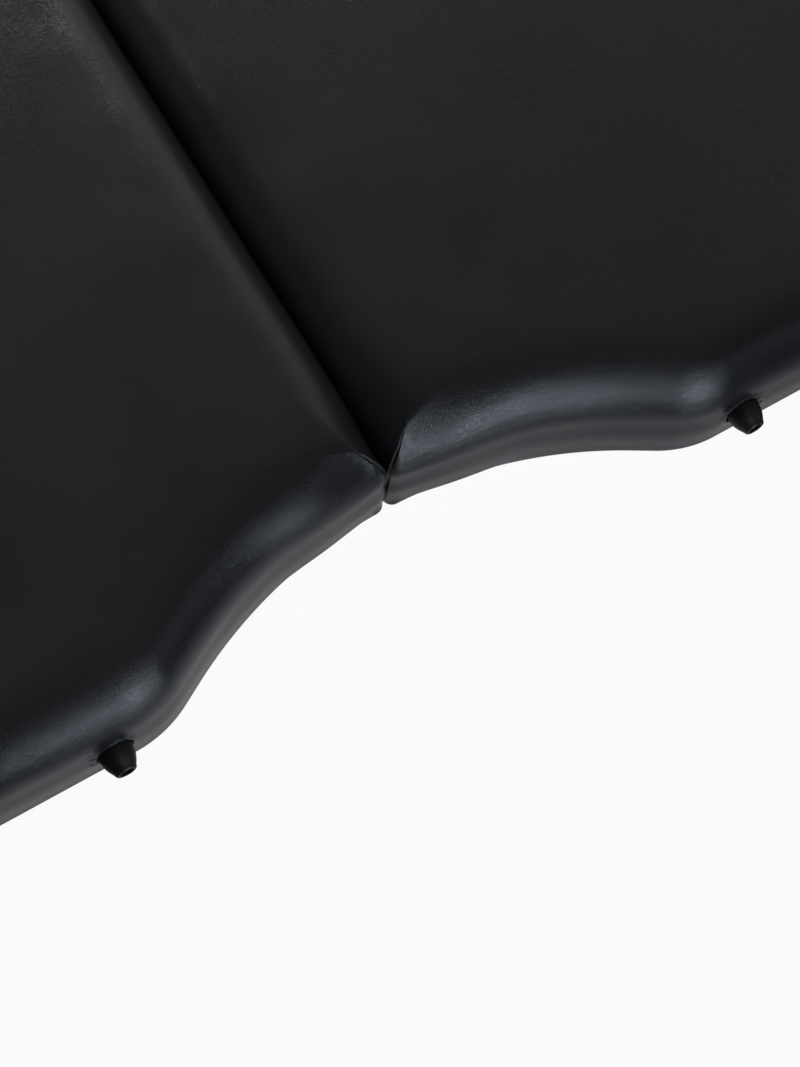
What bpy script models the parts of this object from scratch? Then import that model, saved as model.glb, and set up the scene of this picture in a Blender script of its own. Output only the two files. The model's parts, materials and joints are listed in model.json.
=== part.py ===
"""Folding massage table with an hourglass waist.

Two padded halves meet on a full-width fold hinge.  Each half is a wooden tray under plywood, foam and a
leatherette cover; its leg frame swings up into the tray on two pivot bolts and is held open by a knee stay.
Metres, +Z up.  The origin lies on the floor under the middle of the fold, +X runs along the right half and
the front, with its rubber bumpers, faces -Y.

Each half is built in its own frame: x runs outwards from the fold, and the left half is the same frame
turned half a turn about Z.
"""
from math import asin, atan2, cos, hypot, pi, radians, sin, sqrt, tan

import bmesh
import bpy
from mathutils import Matrix, Vector

# Overall sizes
HALF_LENGTH = 0.925
PAD_WIDTH = 0.740
PAD_HEIGHT = 0.108
UNDERSIDE_HEIGHT = 0.540
CLEARANCE = 0.0003
FOLD_GAP = 0.0008
HEAD_TAPER = 0.7
TURN_STEPS = 14
FACING_COSINE = 0.5

# Outline of one half, seen from above
WAIST_DEPTH = 0.0695
WAIST_RADIUS = 0.358
FLANK_ANGLE = radians(30)
SHOULDER_RADIUS = 0.090
END_CORNER_RADIUS = 0.060
FOLD_CORNER_RADIUS = 0.007
LEAST_CORNER_RADIUS = 0.0008
LEAST_SHOULDER_RADIUS = 0.004

# Upholstery
COVER_THICKNESS = 0.0015
COVER_LIP = 0.018
TOP_ROUNDING = 0.045
BOTTOM_ROUNDING = 0.005
CROWN_RISE = 0.004
CROWN_RUN = 0.075
CROWN_SHARES = (0.4, 1.0)
FOAM_EDGE = 0.004

# Wooden tray
DECK_THICKNESS = 0.006
RAIL_HEIGHT = 0.046
RAIL_THICKNESS = 0.020
HINGE_RAIL_THICKNESS = 0.028
RAIL_CHAMFER = 0.0035

# Fold hinge
LEAF_THICKNESS = 0.0015
LEAF_WIDTH = 0.024
BARREL_RADIUS = 0.003
HINGE_PIN_RADIUS = 0.0013
HINGE_END_MARGIN = 0.040
KNUCKLES = 13

# Leg frames
LEG_PIVOT_INSET = 0.065
LEG_WIDTH = 0.036
LEG_THICKNESS = 0.018
LEG_GAP = 0.0005
FRAME_HALF_WIDTH = 0.250
FRAME_SHIFT = 0.014
LEG_TRAVEL = 0.200
UPPER_LEG_LENGTH = 0.372
SLOT_TOP = 0.060
TONGUE_LENGTH = 0.040
TONGUE_TO_BOLT = 0.014
LEG_EXTENSION_TOP_MARGIN = 0.008
STRETCHER_HEIGHT = 0.026
STRETCHER_WIDTH = 0.020
STRETCHER_END_MARGIN = 0.005
BATTEN_WIDTH = 0.042
BATTEN_DROP = 0.016
PIVOT_BOLT_RADIUS = 0.004
PIVOT_BOLT_GRIP = 0.035
PIVOT_HEAD_RADIUS = 0.0085
PIVOT_HEAD_HEIGHT = 0.0045
FOOT_HEIGHT = 0.032
FOOT_SOLE = 0.010
FOOT_WALL = 0.0027
FOOT_CORNER_RADIUS = 0.005

# Clamp knobs of the leg extensions
KNOB_BOLT_RADIUS = 0.004
KNOB_HEAD_RADIUS = 0.009
KNOB_HEAD_HEIGHT = 0.003
KNOB_COLLAR_RADIUS = 0.012
KNOB_COLLAR_HEIGHT = 0.005
KNOB_RADIUS = 0.018
KNOB_HEIGHT = 0.015
KNOB_LOBES = 5
KNOB_LOBE_DEPTH = 0.0025

# Knee stays
STAY_REACH = 0.300
LINK_HALF_WIDTH = 0.009
LINK_THICKNESS = 0.004
STAY_PIN_RADIUS = 0.003
BRACKET_WALL = 0.003
BRACKET_LENGTH = 0.026
LEG_BRACKET_HEIGHT = 0.017
BRACKET_RIVET_HEAD = 0.001
KNEE_RIVET_RADIUS = 0.006
KNEE_RIVET_HEIGHT = 0.002

# Rubber bumpers on the front
BUMPER_LENGTH = 0.0185
BUMPER_BASE_RADIUS = 0.0125
BUMPER_TIP_RADIUS = 0.0080
BUMPER_BULGE = 0.0008
BUMPER_EDGE = 0.001
BUMPER_HOLE_RADIUS = 0.0052
BUMPER_HOLE_DEPTH = 0.008
BUMPER_HEIGHT = 0.040
BUMPER_FROM_FOLD = 0.255
BUMPER_FROM_END = 0.120
BUMPER_TURN_STEPS = 18

# Carrying handles and case latch on the rear
HANDLE_FROM_FOLD = 0.550
HANDLE_SPAN = 0.140
HANDLE_HEIGHT = 0.060
HANDLE_DROP = 0.038
HANDLE_BEND_RADIUS = 0.012
HANDLE_ROD_RADIUS = 0.0042
HANDLE_GRIP_RADIUS = 0.0068
HANDLE_AXIS_REACH = 0.0115
HANDLE_PLATE_LENGTH = 0.172
HANDLE_PLATE_WIDTH = 0.022
HANDLE_PLATE_THICKNESS = 0.003
HANDLE_EAR_THICKNESS = 0.006
LATCH_FROM_END = 0.185
LATCH_HEIGHT = 0.030
LATCH_BAR_UPPER = 0.010
LATCH_BAR_LOWER = 0.008
LATCH_TIP = 0.012
LATCH_PLATE_THICKNESS = 0.003
LATCH_POST_RADIUS = 0.0045
LATCH_POST_LENGTH = 0.004
LATCH_HEAD_RADIUS = 0.0075
LATCH_HEAD_HEIGHT = 0.003
STUD_RADIUS = 0.004
STUD_PLAY = 0.0006

# Places that follow from the sizes above
RAIL_INSET = COVER_THICKNESS + CLEARANCE
RAIL_BOTTOM = UNDERSIDE_HEIGHT + RAIL_INSET
RAIL_TOP = RAIL_BOTTOM + RAIL_HEIGHT
DECK_BOTTOM = RAIL_TOP + CLEARANCE
DECK_TOP = DECK_BOTTOM + DECK_THICKNESS
PAD_TOP = UNDERSIDE_HEIGHT + PAD_HEIGHT
PAD_EDGE = PAD_TOP - CROWN_RISE
EDGE_ROUNDING = min(TOP_ROUNDING, PAD_EDGE - DECK_TOP - FOAM_EDGE)
LEAF_BOTTOM = UNDERSIDE_HEIGHT - CLEARANCE - LEAF_THICKNESS
FOLD_AXIS_HEIGHT = LEAF_BOTTOM - CLEARANCE
LEG_PIVOT_HEIGHT = (UNDERSIDE_HEIGHT + DECK_BOTTOM) / 2
LEG_PIVOT_X = HALF_LENGTH - LEG_PIVOT_INSET
EXTENSION_INNER_Y = FRAME_HALF_WIDTH - LEG_THICKNESS
UPPER_LEG_OUTER_Y = EXTENSION_INNER_Y - LEG_GAP
UPPER_LEG_INNER_Y = UPPER_LEG_OUTER_Y - LEG_THICKNESS
SLOT_RADIUS = KNOB_BOLT_RADIUS + CLEARANCE
TONGUE_TOP = -SLOT_TOP - SLOT_RADIUS
TONGUE_BOTTOM = TONGUE_TOP - TONGUE_LENGTH
KNOB_BOLT_Z = TONGUE_BOTTOM - TONGUE_TO_BOLT
SLOT_BOTTOM = KNOB_BOLT_Z - LEG_TRAVEL - SLOT_RADIUS
EXTENSION_TOP = TONGUE_TOP + LEG_EXTENSION_TOP_MARGIN
STRETCHER_BOTTOM = -UPPER_LEG_LENGTH + STRETCHER_END_MARGIN
STRETCHER_TOP = STRETCHER_BOTTOM + STRETCHER_HEIGHT
STAY_FOOT = -(STRETCHER_TOP + CLEARANCE + LEG_BRACKET_HEIGHT)
STAY_LENGTH = hypot(STAY_REACH, STAY_FOOT)
UPPER_LINK_LENGTH = (STAY_LENGTH - (STAY_FOOT - STAY_REACH)) / 2
SIDE_FITTING_Y = PAD_WIDTH / 2 + CLEARANCE
LATCH_X = HALF_LENGTH - LATCH_FROM_END
LATCH_SPAN = 2 * (LATCH_HEIGHT + UNDERSIDE_HEIGHT - FOLD_AXIS_HEIGHT)


# Scene helpers

def clear_scene():
    for obj in list(bpy.data.objects):
        bpy.data.objects.remove(obj, do_unlink=True)


def make_collection(name):
    collection = bpy.data.collections.new(name)
    bpy.context.scene.collection.children.link(collection)
    return collection


def make_material(name, colour, roughness, metallic=0.0):
    material = bpy.data.materials.new(name)
    material.use_nodes = True
    shader = material.node_tree.nodes["Principled BSDF"]
    shader.inputs["Base Color"].default_value = (*colour, 1.0)
    shader.inputs["Roughness"].default_value = roughness
    shader.inputs["Metallic"].default_value = metallic
    return material


clear_scene()
TABLE = make_collection("folding_massage_table")
CUTTERS = make_collection("cutters")
LEATHERETTE = make_material("black_leatherette", (0.012, 0.012, 0.014), 0.42)
FOAM = make_material("cream_foam", (0.72, 0.66, 0.48), 0.95)
PLYWOOD = make_material("birch_plywood", (0.62, 0.47, 0.30), 0.60)
BEECH = make_material("lacquered_beech", (0.55, 0.34, 0.18), 0.38)
STEEL = make_material("zinc_plated_steel", (0.62, 0.63, 0.65), 0.32, 1.0)
RUBBER = make_material("black_rubber", (0.010, 0.010, 0.011), 0.60)
PLASTIC = make_material("black_plastic", (0.015, 0.015, 0.016), 0.40)


def make_empty(name, location, parent=None, turn=0.0):
    empty = bpy.data.objects.new(name, None)
    empty.location = location
    empty.rotation_euler.z = turn
    empty.parent = parent
    TABLE.objects.link(empty)
    return empty


def place(name, data, parent, material):
    """Put new mesh or curve data in the table; without a material it is a tool for a Boolean."""
    obj = bpy.data.objects.new(name, data)
    obj.parent = parent
    if material is None:
        obj.hide_render = True
        obj.display_type = "WIRE"
        CUTTERS.objects.link(obj)
    else:
        data.materials.append(material)
        TABLE.objects.link(obj)
    return obj


def from_bmesh(name, bm, parent, material):
    bmesh.ops.recalc_face_normals(bm, faces=bm.faces)
    mesh = bpy.data.meshes.new(name)
    bm.to_mesh(mesh)
    bm.free()
    return place(name, mesh, parent, material)


# Shape helpers

def arc(centre, radius, start, end, steps):
    angles = [start + (end - start) * step / steps for step in range(steps + 1)]
    return [(centre[0] + radius * cos(a), centre[1] + radius * sin(a)) for a in angles]


def circle(centre, radius, steps=16):
    return arc(centre, radius, 0.0, 2 * pi, steps)[:-1]


def stadium(start, end, radius, steps=8):
    """Outline of a bar with round ends around the line from start to end."""
    heading = atan2(end[1] - start[1], end[0] - start[0])
    far = arc(end, radius, heading - pi / 2, heading + pi / 2, steps)
    return far + arc(start, radius, heading + pi / 2, heading + 3 * pi / 2, steps)


def rounded_rectangle(half_x, half_y, radius, steps=3):
    points = []
    for quarter, (sx, sy) in enumerate(((1, 1), (-1, 1), (-1, -1), (1, -1))):
        centre = (sx * (half_x - radius), sy * (half_y - radius))
        points += arc(centre, radius, quarter * pi / 2, (quarter + 1) * pi / 2, steps)
    return points


def box(name, low, high, parent, material):
    low, high = Vector(low), Vector(high)
    shape = Matrix.Translation((low + high) / 2) @ Matrix.Diagonal((*(high - low), 1.0))
    bm = bmesh.new()
    bmesh.ops.create_cube(bm, size=1.0, matrix=shape)
    return from_bmesh(name, bm, parent, material)


def cylinder(name, centre, radius, length, axis, parent, material, sides=16):
    turn = Vector((0, 0, 1)).rotation_difference(Vector(axis)).to_matrix().to_4x4()
    bm = bmesh.new()
    bmesh.ops.create_cone(bm, cap_ends=True, segments=sides, radius1=radius, radius2=radius,
                          depth=length, matrix=Matrix.Translation(centre) @ turn)
    return from_bmesh(name, bm, parent, material)


def plate(name, outlines, thickness, location, parent, material, turn=(0.0, 0.0, 0.0)):
    """A flat piece of even thickness: the first outline is its edge, the others are holes in it."""
    curve = bpy.data.curves.new(name, "CURVE")
    curve.dimensions = "2D"
    curve.fill_mode = "BOTH"
    curve.extrude = thickness / 2
    for outline in outlines:
        spline = curve.splines.new("POLY")
        spline.points.add(len(outline) - 1)
        for point, (x, y) in zip(spline.points, outline):
            point.co = (x, y, 0.0, 1.0)
        spline.use_cyclic_u = True
    obj = place(name, curve, parent, material)
    obj.location = location
    obj.rotation_euler = turn
    return obj


UPRIGHT = (pi / 2, 0.0, 0.0)
ACROSS = (pi / 2, 0.0, pi / 2)


def as_mesh(obj, material):
    """Swap a flat curve for a welded mesh of the same shape, so that it can be cut or joined."""
    bpy.context.view_layer.update()
    graph = bpy.context.evaluated_depsgraph_get()
    mesh = bpy.data.meshes.new_from_object(obj.evaluated_get(graph), depsgraph=graph)
    mesh.transform(obj.matrix_basis)
    mesh.materials.clear()
    name, parent = obj.name, obj.parent
    bpy.data.objects.remove(obj, do_unlink=True)
    bm = bmesh.new()
    bm.from_mesh(mesh)
    bmesh.ops.remove_doubles(bm, verts=bm.verts, dist=1e-6)
    bpy.data.meshes.remove(mesh)
    return from_bmesh(name, bm, parent, material)


def turned(name, profile, steps, location, turn, parent, material):
    """A turned piece: the profile of (radius, height) points runs down the outside, top to bottom."""
    mesh = bpy.data.meshes.new(name)
    edges = [(i, i + 1) for i in range(len(profile) - 1)]
    mesh.from_pydata([(radius, 0.0, height) for radius, height in profile], edges, [])
    obj = place(name, mesh, parent, material)
    obj.location = location
    obj.rotation_euler = turn
    screw = obj.modifiers.new("turn", "SCREW")
    screw.steps = steps
    screw.render_steps = steps
    screw.use_merge_vertices = True
    screw.merge_threshold = 0.00001
    return obj


def combine(obj, operation, tool):
    boolean = obj.modifiers.new(operation.lower(), "BOOLEAN")
    boolean.operation = operation
    boolean.object = tool


def loft(name, rings, close_bottom, parent, material):
    """Skin through rings of equal point count, stacked from bottom to top and closed at the top."""
    bm = bmesh.new()
    rows = [[bm.verts.new(point) for point in ring] for ring in rings]
    count = len(rows[0])
    for lower, upper in zip(rows, rows[1:]):
        for i in range(count):
            j = (i + 1) % count
            bm.faces.new((lower[i], lower[j], upper[j], upper[i]))
    bm.faces.new(rows[-1])
    if close_bottom:
        bm.faces.new(rows[0])
    return from_bmesh(name, bm, parent, material)


# Outline of one half

def waist_y(x, inset):
    """Distance of the waist's edge from the centre line, near the fold."""
    centre = PAD_WIDTH / 2 - WAIST_DEPTH + WAIST_RADIUS
    return centre - sqrt((WAIST_RADIUS + inset) ** 2 - x ** 2)


def side_outline(inset, start_x):
    """One long edge at y > 0, set in by inset, from start_x near the fold to the outer end."""
    half_width = PAD_WIDTH / 2
    sum_of_radii = WAIST_RADIUS + SHOULDER_RADIUS
    flank = (WAIST_DEPTH - sum_of_radii * (1 - cos(FLANK_ANGLE))) / sin(FLANK_ANGLE)
    shoulder_x = sum_of_radii * sin(FLANK_ANGLE) + flank * cos(FLANK_ANGLE)
    waist_centre = (0.0, half_width - WAIST_DEPTH + WAIST_RADIUS)
    waist_radius = WAIST_RADIUS + inset
    points = arc(waist_centre, waist_radius, -pi / 2 + asin(start_x / waist_radius),
                 -pi / 2 + FLANK_ANGLE, 6)
    radius = max(SHOULDER_RADIUS - inset, LEAST_SHOULDER_RADIUS)
    shift = (inset - SHOULDER_RADIUS + radius) * tan(FLANK_ANGLE / 2)
    shoulder = (shoulder_x + shift, half_width - inset - radius)
    points += arc(shoulder, radius, pi / 2 + FLANK_ANGLE, pi / 2, 4)
    corner_radius = max(END_CORNER_RADIUS - inset, LEAST_SHOULDER_RADIUS)
    corner = (HALF_LENGTH - FOLD_GAP / 2 - inset - corner_radius, half_width - inset - corner_radius)
    return points + arc(corner, corner_radius, pi / 2, 0.0, 4)


def fold_corner(inset):
    """The corner at y > 0 between the fold edge and the waist, from the fold edge outwards."""
    radius = max(FOLD_CORNER_RADIUS - inset, LEAST_CORNER_RADIUS)
    centre = (inset + radius, waist_y(inset + radius, inset) - radius)
    return arc(centre, radius, pi, pi / 2, 2)


def long_side(inset):
    """Fold corner and long edge at y > 0, set in by inset, from the fold to the outer end."""
    corner = fold_corner(inset)
    return corner + side_outline(inset, corner[-1][0])[1:]


def trimmed(points, start_x):
    """The stretch of a run of points beyond start_x, which gets a point of its own."""
    kept = [point for point in points if point[0] > start_x]
    before, after = points[-len(kept) - 1], kept[0]
    share = (start_x - before[0]) / (after[0] - before[0])
    return [(start_x, before[1] + (after[1] - before[1]) * share)] + kept


def from_fold(points):
    return [(FOLD_GAP / 2 + x, y) for x, y in points]


def mirrored(points):
    """The points, then their mirror images across the centre line, as one closed outline."""
    return points + [(x, -y) for x, y in reversed(points)]


def half_outline(inset):
    return from_fold(mirrored(long_side(inset)))


def ring(inset, height):
    return [(x, y, height) for x, y in half_outline(inset)]


def pad_rings(skin, bottom_rings):
    """Rings of the padded form, set in by skin along the surface: sides, rounded edge, crowned top."""
    rounding = EDGE_ROUNDING - skin
    centre_inset, centre_height = EDGE_ROUNDING, PAD_EDGE - EDGE_ROUNDING
    rings = list(bottom_rings)
    for inset, height in arc((centre_inset, centre_height), rounding, pi, pi / 2, 5):
        rings.append(ring(inset, height))
    for share in CROWN_SHARES:
        rise = CROWN_RISE * (1 - (1 - share) ** 2)
        rings.append(ring(EDGE_ROUNDING + CROWN_RUN * share, PAD_EDGE - skin + rise))
    return rings


# Pieces of one half

def build_upholstery(name, parent):
    corner = arc((BOTTOM_ROUNDING, UNDERSIDE_HEIGHT + BOTTOM_ROUNDING), BOTTOM_ROUNDING,
                 3 * pi / 2, pi, 2)
    hem = [ring(inset, height) for inset, height in [(COVER_LIP, UNDERSIDE_HEIGHT)] + corner]
    cover = loft(name + "_cover", pad_rings(0.0, hem), False, parent, LEATHERETTE)
    shell = cover.modifiers.new("thickness", "SOLIDIFY")
    shell.thickness = COVER_THICKNESS
    shell.offset = -1.0
    shell.use_even_offset = True
    base = [ring(RAIL_INSET, DECK_TOP + CLEARANCE)]
    loft(name + "_foam", pad_rings(RAIL_INSET, base), True, parent, FOAM)


def build_tray(name, parent, rows):
    deck_middle = (DECK_BOTTOM + DECK_TOP) / 2
    plate(name + "_deck", [half_outline(RAIL_INSET)], DECK_THICKNESS, (0, 0, deck_middle), parent, PLYWOOD)
    hinge_rail_end = RAIL_INSET + HINGE_RAIL_THICKNESS
    outer = trimmed(long_side(RAIL_INSET), hinge_rail_end + CLEARANCE)
    inner = trimmed(long_side(RAIL_INSET + RAIL_THICKNESS), hinge_rail_end + CLEARANCE)
    for row, sign in rows:
        outline = [(x, sign * y) for x, y in from_fold(outer + inner[::-1])]
        build_rail(f"{name}_{row}_rail", outline, ((0, sign), (1, 0)), parent)
    corner = fold_corner(RAIL_INSET)
    hinge_outline = mirrored(corner + [(hinge_rail_end, corner[-1][1])])
    build_rail(name + "_hinge_rail", from_fold(hinge_outline), ((-1, 0), (0, 1), (0, -1)), parent)
    end_x = HALF_LENGTH - RAIL_INSET
    half_end = outer[-1][1] - CLEARANCE
    end_outline = mirrored([(end_x - RAIL_THICKNESS, half_end), (end_x, half_end)])
    build_rail(name + "_end_rail", end_outline, ((1, 0),), parent)


def build_rail(name, outline, outside, parent):
    """A rail of the tray; its lower arris is broken on the outside, where the cover wraps round it.

    The outside is every wall that faces one of the directions given.
    """
    bm = bmesh.new()
    floor = bm.faces.new([bm.verts.new((x, y, RAIL_BOTTOM)) for x, y in outline])
    walls = bmesh.ops.extrude_face_region(bm, geom=[floor])
    raised = [item for item in walls["geom"] if isinstance(item, bmesh.types.BMVert)]
    bmesh.ops.translate(bm, verts=raised, vec=(0, 0, RAIL_HEIGHT))
    bmesh.ops.recalc_face_normals(bm, faces=bm.faces)
    arrises = []
    middle = (RAIL_BOTTOM + RAIL_TOP) / 2
    for face in bm.faces:
        if any(face.normal.xy.dot(Vector(way)) > FACING_COSINE for way in outside):
            arrises += [edge for edge in face.edges if max(v.co.z for v in edge.verts) < middle]
    bmesh.ops.bevel(bm, geom=arrises, offset=RAIL_CHAMFER, segments=1, profile=0.5, affect="EDGES",
                    clamp_overlap=False, material=-1)
    return from_bmesh(name, bm, parent, BEECH)


def build_hinge_leaf(name, parent, first_knuckle):
    """A hinge leaf under the hinge rail; its knuckles fill every second place along the barrel."""
    half_length = PAD_WIDTH / 2 - WAIST_DEPTH - HINGE_END_MARGIN
    pitch = 2 * half_length / KNUCKLES
    inner_edge = BARREL_RADIUS + CLEARANCE
    leaf = box(name + "_hinge_leaf", (inner_edge, -half_length, LEAF_BOTTOM),
               (LEAF_WIDTH, half_length, LEAF_BOTTOM + LEAF_THICKNESS), parent, STEEL)
    low, high = LEAF_BOTTOM - FOLD_AXIS_HEIGHT, LEAF_BOTTOM + LEAF_THICKNESS - FOLD_AXIS_HEIGHT
    tab_end = inner_edge + LEAF_THICKNESS
    barrel = arc((0, 0), BARREL_RADIUS, asin(high / BARREL_RADIUS), 2 * pi + asin(low / BARREL_RADIUS), 12)
    outlines = [[(tab_end, low), (tab_end, high)] + barrel,
                circle((0, 0), HINGE_PIN_RADIUS + CLEARANCE, 10)]
    start = -half_length + (first_knuckle + 0.5) * pitch
    knuckle = plate(name + "_knuckles", outlines, pitch - CLEARANCE, (0, start, FOLD_AXIS_HEIGHT), parent,
                    None, UPRIGHT)
    knuckles = as_mesh(knuckle, None)
    row = knuckles.modifiers.new("row", "ARRAY")
    row.count = (KNUCKLES + 1) // 2 - first_knuckle
    row.use_relative_offset = False
    row.use_constant_offset = True
    row.constant_offset_displace = (0, 2 * pitch, 0)
    combine(leaf, "UNION", knuckles)


def build_pivot_batten(name, parent):
    """Batten under the deck with a bore in each end for the leg frame's pivot bolts."""
    half_length = UPPER_LEG_INNER_Y - CLEARANCE
    batten = box(name + "_pivot_batten",
                 (LEG_PIVOT_X - BATTEN_WIDTH / 2, FRAME_SHIFT - half_length, LEG_PIVOT_HEIGHT - BATTEN_DROP),
                 (LEG_PIVOT_X + BATTEN_WIDTH / 2, FRAME_SHIFT + half_length, DECK_BOTTOM - CLEARANCE),
                 parent, BEECH)
    for end in (-1, 1):
        mouth = (LEG_PIVOT_X, FRAME_SHIFT + end * half_length, LEG_PIVOT_HEIGHT)
        bore = cylinder(f"{name}_batten_bore_{end}", mouth, PIVOT_BOLT_RADIUS + CLEARANCE,
                        2 * (PIVOT_BOLT_GRIP + CLEARANCE), (0, 1, 0), parent, None)
        combine(batten, "DIFFERENCE", bore)


# Pieces of one leg frame, around the pivot axis at the leg frame's own origin

def inward(sign):
    """Turn that points a turned piece's axis from the leg at y * sign towards the frame's middle."""
    return (sign * pi / 2, 0.0, 0.0)


def build_pivot_bolt(name, parent, sign):
    grip_end = LEG_THICKNESS + CLEARANCE + PIVOT_BOLT_GRIP
    profile = [(0.0, grip_end), (PIVOT_BOLT_RADIUS, grip_end), (PIVOT_BOLT_RADIUS, -CLEARANCE),
               (PIVOT_HEAD_RADIUS, -CLEARANCE), (PIVOT_HEAD_RADIUS, -PIVOT_HEAD_HEIGHT / 2),
               (PIVOT_HEAD_RADIUS * HEAD_TAPER, -PIVOT_HEAD_HEIGHT), (0.0, -PIVOT_HEAD_HEIGHT)]
    place_at = (LEG_PIVOT_X, FRAME_SHIFT + sign * UPPER_LEG_OUTER_Y, LEG_PIVOT_HEIGHT)
    turned(name, profile, TURN_STEPS, place_at, inward(sign), parent, STEEL)


def build_upper_leg(name, parent, sign):
    half_width = LEG_WIDTH / 2
    outline = arc((0, 0), half_width, 0.0, pi, 8)
    outline += [(-half_width, -UPPER_LEG_LENGTH), (half_width, -UPPER_LEG_LENGTH)]
    slot = stadium((0, -SLOT_TOP - SLOT_RADIUS), (0, SLOT_BOTTOM + SLOT_RADIUS), SLOT_RADIUS, 6)
    pivot_hole = circle((0, 0), PIVOT_BOLT_RADIUS + CLEARANCE)
    middle = sign * (UPPER_LEG_OUTER_Y + UPPER_LEG_INNER_Y) / 2
    plate(name, [outline, slot, pivot_hole], LEG_THICKNESS, (0, middle, 0), parent, BEECH, UPRIGHT)


def build_stretcher(name, parent):
    half_length = UPPER_LEG_INNER_Y - CLEARANCE
    stretcher = box(name, (-STRETCHER_WIDTH / 2, -half_length, STRETCHER_BOTTOM),
                    (STRETCHER_WIDTH / 2, half_length, STRETCHER_TOP), parent, BEECH)
    bevel = stretcher.modifiers.new("edges", "BEVEL")
    bevel.width = RAIL_CHAMFER
    bevel.segments = 1


def build_extension(name, parent, sign):
    """Lower leg with the tongue that runs in the upper leg's slot."""
    half_width = LEG_WIDTH / 2
    bottom = -LEG_PIVOT_HEIGHT + FOOT_SOLE + CLEARANCE
    outline = [(half_width, EXTENSION_TOP), (-half_width, EXTENSION_TOP), (-half_width, bottom),
               (half_width, bottom)]
    bolt_hole = circle((0, KNOB_BOLT_Z), KNOB_BOLT_RADIUS + CLEARANCE)
    middle = sign * (EXTENSION_INNER_Y + LEG_THICKNESS / 2)
    bar = plate(name, [outline, bolt_hole], LEG_THICKNESS, (0, middle, 0), parent, BEECH, UPRIGHT)
    bar = as_mesh(bar, BEECH)
    ends = sorted((sign * (UPPER_LEG_INNER_Y + LEG_GAP), sign * (EXTENSION_INNER_Y + LEG_THICKNESS / 2)))
    tongue = box(name + "_tongue", (-KNOB_BOLT_RADIUS, ends[0], TONGUE_BOTTOM),
                 (KNOB_BOLT_RADIUS, ends[1], TONGUE_TOP), parent, None)
    combine(bar, "UNION", tongue)


def build_foot(name, parent, sign):
    """Rubber boot with a socket for the end of the leg extension."""
    socket_x = LEG_WIDTH / 2 + CLEARANCE
    socket_y = LEG_THICKNESS / 2 + CLEARANCE
    middle = sign * (EXTENSION_INNER_Y + LEG_THICKNESS / 2)
    floor = -LEG_PIVOT_HEIGHT
    outline = rounded_rectangle(socket_x + FOOT_WALL, socket_y + FOOT_WALL, FOOT_CORNER_RADIUS)
    boot = plate(name, [outline], FOOT_HEIGHT, (0, middle, floor + FOOT_HEIGHT / 2), parent, RUBBER)
    boot = as_mesh(boot, RUBBER)
    socket = box(name + "_socket", (-socket_x, middle - socket_y, floor + FOOT_SOLE),
                 (socket_x, middle + socket_y, floor + 2 * FOOT_HEIGHT), parent, None)
    combine(boot, "DIFFERENCE", socket)


def build_knob(name, frame, sign):
    """Lobed clamp knob on the inside of the upper leg, in one piece with its bolt."""
    axis = make_empty(name + "_axis", (0, sign * FRAME_HALF_WIDTH, KNOB_BOLT_Z), frame)
    collar = 2 * LEG_THICKNESS + LEG_GAP + CLEARANCE
    grip = collar + KNOB_COLLAR_HEIGHT
    outline = []
    samples = 6 * KNOB_LOBES
    for i in range(samples):
        angle = 2 * pi * i / samples
        radius = KNOB_RADIUS - KNOB_LOBE_DEPTH * (1 - cos(KNOB_LOBES * angle)) / 2
        outline.append((radius * cos(angle), radius * sin(angle)))
    overlap = KNOB_HEIGHT / 2
    knob = plate(name, [outline], KNOB_HEIGHT, (0, -sign * (grip + overlap), 0), axis, PLASTIC, UPRIGHT)
    knob = as_mesh(knob, PLASTIC)
    profile = [(0.0, grip + overlap), (KNOB_COLLAR_RADIUS, grip + overlap), (KNOB_COLLAR_RADIUS, collar),
               (KNOB_BOLT_RADIUS, collar), (KNOB_BOLT_RADIUS, -CLEARANCE), (KNOB_HEAD_RADIUS, -CLEARANCE),
               (KNOB_HEAD_RADIUS * HEAD_TAPER, -KNOB_HEAD_HEIGHT), (0.0, -KNOB_HEAD_HEIGHT)]
    bolt = turned(name + "_bolt", profile, TURN_STEPS, (0, 0, 0), inward(sign), axis, None)
    combine(knob, "UNION", bolt)


# Knee stay

def build_bracket(name, pin, base, side, parent):
    """Angle bracket with its rivet, which ends flush with the far face of the link.

    base is the signed distance from the rivet to the face that the bracket is fixed on, and side tells on
    which side of the link its ear stands.
    """
    towards_base = 1 if base > 0 else -1
    inner = side * (LINK_THICKNESS / 2 + CLEARANCE)
    outer = inner + side * BRACKET_WALL
    tip = -towards_base * LINK_HALF_WIDTH
    web = base - towards_base * BRACKET_WALL
    outline = [(outer, tip), (inner, tip), (inner, web), (-outer, web), (-outer, base), (outer, base)]
    bracket = as_mesh(plate(name, [outline], BRACKET_LENGTH, pin, parent, STEEL, ACROSS), STEEL)
    head, tail = outer + side * BRACKET_RIVET_HEAD, -side * LINK_THICKNESS / 2
    rivet_at = (pin[0], pin[1] + (head + tail) / 2, pin[2])
    rivet = cylinder(name + "_rivet", rivet_at, STAY_PIN_RADIUS, abs(head - tail), (0, 1, 0), parent, None,
                     12)
    combine(bracket, "UNION", rivet)


def build_link(name, start, knee, y, outer_side, parent):
    """Flat stay link with a pin hole at its start and half of the knee rivet at its other end."""
    reach = (knee[0] - start[0], knee[1] - start[1])
    outlines = [stadium((0, 0), reach, LINK_HALF_WIDTH), circle((0, 0), STAY_PIN_RADIUS + CLEARANCE, 12)]
    link = plate(name, outlines, LINK_THICKNESS, (start[0], y, start[1]), parent, STEEL, UPRIGHT)
    link = as_mesh(link, STEEL)
    rivet_y = y + outer_side * (LINK_THICKNESS + KNEE_RIVET_HEIGHT) / 2
    rivet = cylinder(name + "_rivet", (knee[0], rivet_y, knee[1]), KNEE_RIVET_RADIUS,
                     KNEE_RIVET_HEIGHT + LINK_THICKNESS / 2, (0, 1, 0), parent, None, 12)
    combine(link, "UNION", rivet)


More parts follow.
